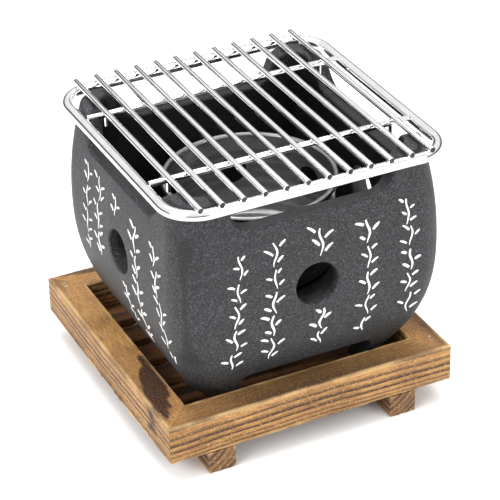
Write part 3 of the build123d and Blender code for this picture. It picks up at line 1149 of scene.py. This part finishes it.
# ---------------------------------------------------------------- rack
@dataclass
class Rack:
    """The wire rack: frame, bars, cross wires, locating pins and weld beads."""

    wire_sides: int = 28
    end_round_mm: float = 0.3
    corner_mm: float = 17.0
    corner_steps: int = 16
    bead_mm: float = 0.9
    sheared: bpy.types.Material | None = None

    def frame_wire(self) -> bpy.types.Object:
        """Bend the heavy frame wire: a ring is drawn out along each side and spun round each corner."""
        low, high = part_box("rack_frame")
        radius = (high.z - low.z) / 2
        middle = (low + high) / 2
        half = Vector(((high.x - low.x) / 2 - radius, (high.y - low.y) / 2 - radius, 0))
        corner = self.corner_mm * MM
        straight = (2 * (half.x - corner), 2 * (half.y - corner))
        deselect()
        start = Vector((middle.x - half.x + corner, middle.y - half.y, middle.z))
        bpy.ops.mesh.primitive_circle_add(
            vertices=self.wire_sides, radius=radius, location=start, rotation=(0, math.pi / 2, 0)
        )
        piece = bpy.context.view_layer.objects.active
        bpy.ops.object.transform_apply(location=True, rotation=True, scale=True)
        edit(piece)
        bpy.ops.mesh.select_all(action="SELECT")
        heading = Vector((1, 0, 0))
        spot = start.copy()
        for side in range(4):
            length = straight[side % 2]
            bpy.ops.mesh.extrude_edges_move(TRANSFORM_OT_translate={"value": heading * length})
            spot += heading * length
            left = Vector((-heading.y, heading.x, 0))
            centre = spot + left * corner
            bpy.ops.mesh.spin(steps=self.corner_steps, angle=-math.pi / 2, center=centre, axis=(0, 0, 1))
            spot = centre + heading * corner
            heading = left
        bpy.ops.mesh.select_all(action="SELECT")
        bpy.ops.mesh.remove_doubles(threshold=0.02 * MM)
        bpy.ops.mesh.normals_make_consistent(inside=False)
        bpy.ops.object.mode_set(mode="OBJECT")
        return settle(piece, "frame_wire")

    def cut_wire(self, name: str, low: Vector, high: Vector, axis: int) -> bpy.types.Object:
        """Model a straight wire with lightly dressed ends and a ring of shear marks on them.

        Args:
            name: the piece's name.
            low: the lowest corner of its box.
            high: the highest corner.
            axis: 0 if it runs along X and 1 along Y.

        Returns:
            The wire.
        """
        deselect()
        radius = (high.z - low.z) / 2
        turn = (0, math.pi / 2, 0) if axis == 0 else (math.pi / 2, 0, 0)
        bpy.ops.mesh.primitive_cylinder_add(
            vertices=self.wire_sides, radius=radius, depth=high[axis] - low[axis],
            location=(low + high) / 2, rotation=turn,
        )
        piece = bpy.context.view_layer.objects.active
        bpy.ops.object.transform_apply(location=True, rotation=True, scale=True)
        edit(piece)

        def is_end(face) -> bool:
            return abs(face.normal[axis]) > 0.9

        def on_end(edge) -> bool:
            a, b = edge.verts[0].co, edge.verts[1].co
            return abs(a[axis] - b[axis]) < LEVEL

        pick(piece, Part.EDGES, on_end)
        bpy.ops.mesh.bevel(offset=self.end_round_mm * MM, segments=3, affect="EDGES")
        pick(piece, Part.FACES, lambda face: is_end(face) and len(face.verts) > 4)
        bpy.ops.mesh.inset(thickness=0.35 * radius, depth=-0.05 * radius)
        bpy.ops.object.mode_set(mode="OBJECT")
        for _ in range(2):
            piece.data.materials.append(self.sheared)
        for face in piece.data.polygons:
            face.material_index = int(is_end(face))
        return settle(piece, name)

    def beads(self, spots: Sequence[Vector]) -> bpy.types.Object:
        """Model one small weld bead and copy it to each crossing."""
        deselect()
        bpy.ops.mesh.primitive_uv_sphere_add(segments=12, ring_count=8, radius=self.bead_mm * MM)
        blank = bpy.context.view_layer.objects.active
        edit(blank)
        pick(blank, Part.VERTS, lambda vertex: True)
        bpy.ops.transform.resize(value=(1.0, 1.0, 0.55), center_override=(0, 0, 0))
        bpy.ops.object.mode_set(mode="OBJECT")
        rng = random.Random(9)
        made = []
        for number, spot in enumerate(spots):
            size = rng.uniform(0.88, 1.08)
            turn = Matrix.Rotation(rng.uniform(0, math.pi), 4, "Z")
            move = Matrix.Translation(spot) @ turn @ Matrix.Scale(size, 4)
            made.append(twin(blank, f"bead_{number}", move))
        bpy.data.objects.remove(blank)
        return join(made, "weld_beads")

    def adopt(self, piece: bpy.types.Object, material: bpy.types.Material, node: str | None) -> None:
        """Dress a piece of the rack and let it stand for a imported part."""
        ends = [face.index for face in piece.data.polygons if face.material_index == 1]
        paint(piece, material)
        if ends:
            piece.data.materials.append(self.sheared)
            for index in ends:
                piece.data.polygons[index].material_index = 1
        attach(piece, "rack")
        if node:
            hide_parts(node)

    def build(self) -> None:
        """Model and dress the whole rack."""
        bright = BrightWire().make("bright_wire")
        self.sheared = BrightWire(srgb(88, 86, 84), srgb(42, 40, 38), 0.42, 0.8).make("sheared_wire_ends")
        self.adopt(self.frame_wire(), bright, "rack_frame")
        first_low, first_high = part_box("rack_bar_01")
        bar = self.cut_wire("bar_01", first_low, first_high, 1)
        bars = [f"rack_bar_{number:02d}" for number in range(1, 13)]
        for node in bars:
            piece = bar
            if node != bars[0]:
                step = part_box(node)[0] - first_low
                piece = twin(bar, node.replace("rack_", ""), Matrix.Translation((step.x, step.y, 0)))
            self.adopt(piece, bright, node)
        for side in ("front", "back"):
            node = f"cross_wire_{side}"
            low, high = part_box(node)
            self.adopt(self.cut_wire(f"under_wire_{side}", low, high, 0), bright, node)
        paint(frame["nodes"]["rack_locating_pins"], bright)
        dull = BrightWire(metal=srgb(214, 215, 217), roughness=0.2, haze_share=0.5).make("weld_metal")
        self.adopt(self.beads(self.crossings(bars)), dull, None)
        LOG.info("rack: %d bars", len(bars))

    def crossings(self, bars: Sequence[str]) -> list[Vector]:
        """List where each bar meets the frame and the cross wires."""
        frame_low, frame_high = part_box("rack_frame")
        radius = (frame_high.z - frame_low.z) / 2
        ways = [frame_low.y + radius, frame_high.y - radius]
        for side in ("front", "back"):
            low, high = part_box(f"cross_wire_{side}")
            ways.append((low.y + high.y) / 2)
        spots = []
        for node in bars:
            low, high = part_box(node)
            for y in ways:
                spots.append(Vector(((low.x + high.x) / 2, y, low.z + 0.15 * MM)))
        return spots


# ---------------------------------------------------------------- studio
@dataclass(frozen=True)
class SoftBox:
    """A soft rectangular light that faces the object."""

    name: str
    place: tuple[float, float, float]
    size: tuple[float, float]
    watts: float
    aim: tuple[float, float, float] = (0.0, 0.0, 0.06)


@dataclass
class Studio:
    """Camera, floor and soft light."""

    lens_mm: float = 155.8
    sensor_mm: float = 36.0
    station: tuple[float, float, float] = (-0.38773, -0.81979, 0.61606)
    yaw_deg: float = 25.555
    pitch_deg: float = 31.194
    roll_deg: float = -1.39
    world_strength: float = 0.95
    horizon_strength: float = 0.12
    boxes: tuple[SoftBox, ...] = (
        SoftBox("key", (-1.3, -0.5, 0.95), (1.1, 1.1), 18.0),
        SoftBox("top", (0.1, 0.35, 1.7), (1.4, 1.4), 24.0),
        SoftBox("fill", (0.7, -1.5, 0.8), (1.0, 1.0), 13.5),
    )

    def camera(self) -> None:
        """Set up the camera by its station and its three turns."""
        yaw, pitch, roll = (math.radians(a) for a in (self.yaw_deg, self.pitch_deg, self.roll_deg))
        flat = math.cos(pitch)
        ahead = Vector((math.sin(yaw) * flat, math.cos(yaw) * flat, -math.sin(pitch)))
        level = Vector((math.cos(yaw), -math.sin(yaw), 0.0))
        above = level.cross(ahead)
        right = level * math.cos(roll) + above * math.sin(roll)
        up = above * math.cos(roll) - level * math.sin(roll)
        data = bpy.data.cameras.new("camera")
        data.lens = self.lens_mm
        data.sensor_width = self.sensor_mm
        data.clip_start = 0.01
        data.clip_end = 50.0
        camera = bpy.data.objects.new("camera", data)
        bpy.context.scene.collection.objects.link(camera)
        turn = Matrix((right, up, -ahead)).transposed().to_4x4()
        camera.matrix_world = Matrix.Translation(self.station) @ turn
        bpy.context.scene.camera = camera

    def floor(self) -> None:
        """Lay the pale floor."""
        deselect()
        bpy.ops.mesh.primitive_plane_add(size=12.0, location=(0, 0, -0.0002))
        floor = bpy.context.view_layer.objects.active
        floor.name = "floor"
        material, tree, shader = new_material("pale_floor")
        pale = (0.93, 0.93, 0.93, 1)
        feed(tree, shader, {"Base Color": pale, "Roughness": 0.75, "Specular IOR Level": 0.2})
        paint(floor, material)

    def lights(self) -> None:
        """Hang the soft boxes and set the room's light."""
        for box in self.boxes:
            data = bpy.data.lights.new(box.name, "AREA")
            data.shape = "RECTANGLE"
            data.size, data.size_y = box.size
            data.energy = box.watts
            light = bpy.data.objects.new(box.name, data)
            bpy.context.scene.collection.objects.link(light)
            light.location = box.place
            away = Vector(box.place) - Vector(box.aim)
            light.rotation_euler = away.to_track_quat("Z", "Y").to_euler()
        world = bpy.data.worlds.new("room")
        world.use_nodes = True
        tree = world.node_tree
        back = tree.nodes["Background"]
        back.inputs["Color"].default_value = (1, 1, 1, 1)
        ray = place(tree, "TexCoord").outputs["Generated"]
        height = place(tree, "SeparateXYZ", {"Vector": ray}).outputs["Z"]
        lit = spread(tree, height, 0.22, 0.42, self.horizon_strength, self.world_strength)
        seen = place(tree, "LightPath").outputs["Is Camera Ray"]
        strength = place(tree, "Mix", {"Factor": seen, 2: lit, 3: self.world_strength}, data_type="FLOAT")
        tree.links.new(strength.outputs[0], back.inputs["Strength"])
        bpy.context.scene.world = world
        bpy.context.scene.view_settings.view_transform = "Standard"

    def build(self) -> None:
        """Set up the whole studio."""
        self.camera()
        self.floor()
        self.lights()
        LOG.info("studio is ready")


def main() -> None:
    """Build the studio and each sub-assembly, then note the sizes."""
    logging.basicConfig(level=logging.INFO, format="%(name)s: %(message)s")
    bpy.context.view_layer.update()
    Studio().build()
    Stand().build()
    FirePot().build()
    FuelCup().build()
    Rack().build()
    deselect()


if __name__ == "__main__":
    main()
